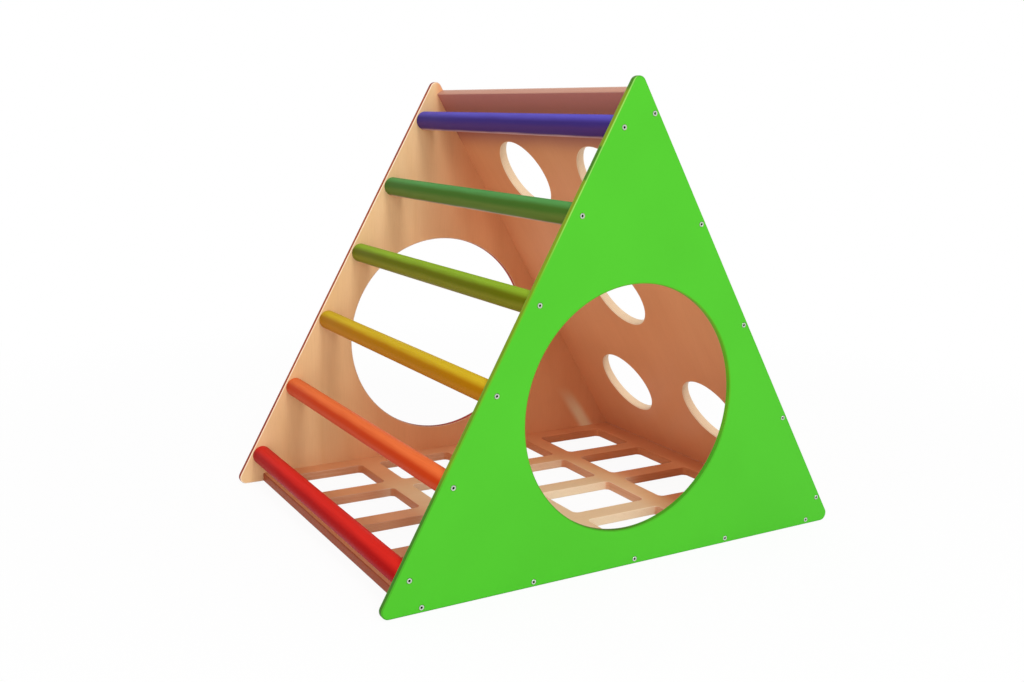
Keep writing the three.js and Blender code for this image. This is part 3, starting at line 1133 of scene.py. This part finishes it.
@dataclass
class FloorPanel(Board):
    """The floor with its grid of rounded openings."""

    varnish: Varnish = FLOOR_VARNISH
    front_setback: float = 60 * MM
    columns: int = 4
    rows: int = 4
    web: float = 44 * MM
    border_side: float = 43 * MM
    border_front: float = 40 * MM
    border_back: float = 58.5 * MM
    opening_corner: float = 10 * MM
    opening_steps: int = 48

    @property
    def front(self) -> float:
        """The floor's front edge along Y, in the module's frame."""
        return TRIANGLE.front.foot.x + self.front_setback

    @property
    def back(self) -> float:
        """The floor's back edge, flush with the foot of the back panel."""
        angle = TRIANGLE.back.angle
        setback = (BackPanel().low + STOCK.edge_round) * math.cos(angle)
        depth = (self.ply.thickness - STOCK.edge_round) * math.sin(angle)
        return TRIANGLE.back.foot.x - setback - depth + STOCK.edge_round

    @property
    def opening(self) -> Vector:
        """The size of one opening along X and Y."""
        width = STOCK.inner_width - 2 * self.border_side - (self.columns - 1) * self.web
        borders = self.border_front + self.border_back
        length = self.back - self.front - borders - (self.rows - 1) * self.web
        return Vector((width / self.columns, length / self.rows))

    def row_start(self, row: int) -> float:
        """Where a row of openings starts along Y."""
        return self.front + self.border_front + row * (self.opening.y + self.web)

    def screw_points(self) -> list[Vector]:
        """The screws' places, as points (y, z)."""
        ys = [self.front + self.border_front / 2]
        ys += [self.row_start(row) - self.web / 2 for row in range(1, self.rows)]
        ys.append(self.row_start(self.rows - 1) + self.opening.y + self.border_front / 2)
        return [Vector((y, self.ply.thickness / 2)) for y in ys]

    def openings(self) -> list[Outline]:
        """The outlines of all the openings."""
        size, shape = self.opening, (self.opening_corner, self.opening_steps)
        start = -STOCK.inner_width / 2 + self.border_side
        xs = [start + column * (size.x + self.web) for column in range(self.columns)]
        lows = [Vector((x, self.row_start(row))) for x in xs for row in range(self.rows)]
        return [Outline.rectangle(low, low + size, *shape) for low in lows]

    def build(self) -> None:
        """Lays the floor."""
        self.make("floor_panel", (self.front, self.back), self.openings(), Matrix())


@dataclass
class SidePanel:
    """One side panel with its big crawl hole and its screws."""

    side: Side
    screws: Screws
    screw_points: Sequence[tuple[str, Vector]]
    ply: Ply = STOCK.side_ply
    border_front: float = 71 * MM
    border_back: float = 65 * MM
    border_bottom: float = 70 * MM
    outline_steps: int = 240
    hole_steps: int = 180
    seat_steps: int = 24

    def place(self) -> Matrix:
        """The matrix that stands the panel up, with its outer face outwards."""
        inner = self.side.value * (STOCK.overall_width / 2 - self.ply.thickness)
        return crosswise(self.side.value, inner, Vector((0, 0)))

    def crawl_hole(self) -> Outline:
        """The one circle that leaves the named borders of wood on all three edges."""
        front, back, top = TRIANGLE.corners
        lengths = (TRIANGLE.front.length, TRIANGLE.back.length, TRIANGLE.base_length)
        borders = (self.border_front, self.border_back, self.border_bottom)
        area = TRIANGLE.base_length * TRIANGLE.apex_height
        edges = list(zip(lengths, borders))
        radius = (area - sum(length * border for length, border in edges)) / sum(lengths)
        shares = [length * (radius + border) / area for length, border in edges]
        centre = back * shares[0] + front * shares[1] + top * shares[2]
        return Outline.circle(centre, radius, self.hole_steps)

    def build(self) -> None:
        """Models and dresses the panel, then drives its screws."""
        label = self.side.label
        piece = Sheet(f"side_panel_{label}", self.ply)
        outline = Outline.polygon(TRIANGLE.corners, TRIANGLE.corner_radius, self.outline_steps)
        seat = self.screws.seat_profile()
        walls = piece.cut(outline, [self.crawl_hole()])
        seats = [Outline.circle(at, 0.0, self.seat_steps) for _, at in self.screw_points]
        piece.face(walls + [piece.loft(outline, seat) for outline in seats])
        piece.mark_walls()
        finish = PANEL_PAINTS[self.side].build(f"{label}_side_panel_finish", self.place())
        piece.finish(self.place(), finish, f"{label}_side_panel", f"{label}_paint")
        for name, at in self.screw_points:
            self.screws.build(name, at, self.side)


# Studio


@dataclass(frozen=True)
class Softbox:
    """One soft rectangular lamp that looks at the module."""

    name: str
    at: Vector
    size: tuple[float, float]
    level: float
    target: Vector = Vector((0.0, 0.0, 0.4))

    def build(self) -> None:
        """Hangs the lamp, at the power that lights a white card at the module to its level."""
        aim = self.target - self.at
        light = bpy.data.lights.new(self.name, "AREA")
        light.shape = "RECTANGLE"
        light.size, light.size_y = self.size
        light.energy = self.level * (math.pi * aim.length) ** 2
        turn = aim.to_track_quat("-Z", "Y").to_matrix().to_4x4()
        add_object(self.name, light).matrix_world = Matrix.Translation(self.at) @ turn


@dataclass
class Studio:
    """The pale floor, the white surroundings, the lamps and the camera."""

    floor_size: float = 40.0
    floor_squares: int = 8
    floor_level: float = -0.2 * MM
    floor_colour: Colour = Colour(246, 246, 246)
    floor_glow: float = 0.93
    floor_fade: tuple[float, float] = (0.8, 2.2)
    fill: float = 0.72
    lens: float = 38.353
    sensor: float = 36.0
    camera_at: Vector = Vector((1.8439, -1.1429, 0.7855))
    camera_right: Vector = Vector((0.510347, 0.859672, 0.022582))
    camera_up: Vector = Vector((-0.184288, 0.083679, 0.979304))
    camera_back: Vector = Vector((0.83999, -0.503946, 0.201132))
    lamps: tuple[Softbox, ...] = (
        Softbox("key_softbox", Vector((4.0, -0.4, 3.9)), (1.0, 2.2), 0.31),
        Softbox("low_softbox", Vector((4.4, -1.7, 2.4)), (1.4, 1.4), 0.09),
        Softbox("front_softbox", Vector((0.8, -5.0, 1.8)), (2.5, 2.0), 0.15),
    )

    def build(self) -> None:
        """Sets up the studio."""
        self._floor()
        self._surroundings()
        self._camera()
        for lamp in self.lamps:
            lamp.build()
        bpy.context.scene.view_settings.view_transform = "Standard"

    def _floor(self) -> None:
        """Lays a plain pale floor that keeps a faint shadow near the module."""
        graph = Graph.material("studio_floor_finish")
        x, y, _ = graph.point()
        away = (x * x + y * y).ramp(self.floor_fade[0] ** 2, self.floor_fade[1] ** 2)
        glow = graph.seen() * (away * (1.0 - self.floor_glow) + self.floor_glow)
        paper = graph.node("BsdfDiffuse", {"Color": self.floor_colour})
        light = graph.node("Emission", {"Color": WHITE, "Strength": 1.0})
        mixed = graph.node("MixShader", {0: glow, 1: paper.outputs[0], 2: light.outputs[0]})
        graph.node("OutputMaterial", {"Surface": mixed.outputs[0]})
        mesh = bmesh.new()
        level = Matrix.Translation((0, 0, self.floor_level))
        grid = {"x_segments": self.floor_squares, "y_segments": self.floor_squares}
        bmesh.ops.create_grid(mesh, size=self.floor_size, matrix=level, **grid)
        floor = add_mesh("studio_floor", mesh, graph.owner)

    def _surroundings(self) -> None:
        """Makes the surroundings white where they are seen and soft where they light."""
        graph = Graph(bpy.data.worlds.new("studio_surroundings"))
        strength = graph.seen() * (1.0 - self.fill) + self.fill
        sky = graph.node("Background", {"Color": WHITE, "Strength": strength})
        graph.node("OutputWorld", {"Surface": sky.outputs[0]})
        bpy.context.scene.world = graph.owner

    def _camera(self) -> None:
        """Stands the camera where the photograph was taken."""
        lens = bpy.data.cameras.new("studio_camera")
        lens.lens, lens.sensor_width, lens.sensor_fit = self.lens, self.sensor, "HORIZONTAL"
        camera = add_object("studio_camera", lens)
        turn = Matrix((self.camera_right, self.camera_up, self.camera_back)).transposed().to_4x4()
        camera.matrix_world = Matrix.Translation(self.camera_at) @ turn
        bpy.context.scene.camera = camera


def main() -> None:
    """Builds the module's sub-assemblies in order, then the studio."""
    logging.basicConfig(level=logging.INFO, format="%(name)s: %(message)s")
    rungs, back, floor, screws = Rungs(), BackPanel(), FloorPanel(), Screws()
    points = [(f"{paint.label}_rung", at) for paint, at in zip(rungs.paints, rungs.axes())]
    points += [(f"back_{i + 1}", at) for i, at in enumerate(back.screw_points())]
    points += [(f"floor_{i + 1}", at) for i, at in enumerate(floor.screw_points())]
    for side in Side:
        SidePanel(side, screws, points).build()
    rungs.build()
    back.build()
    floor.build()
    Studio().build()


if __name__ == "__main__":
    main()
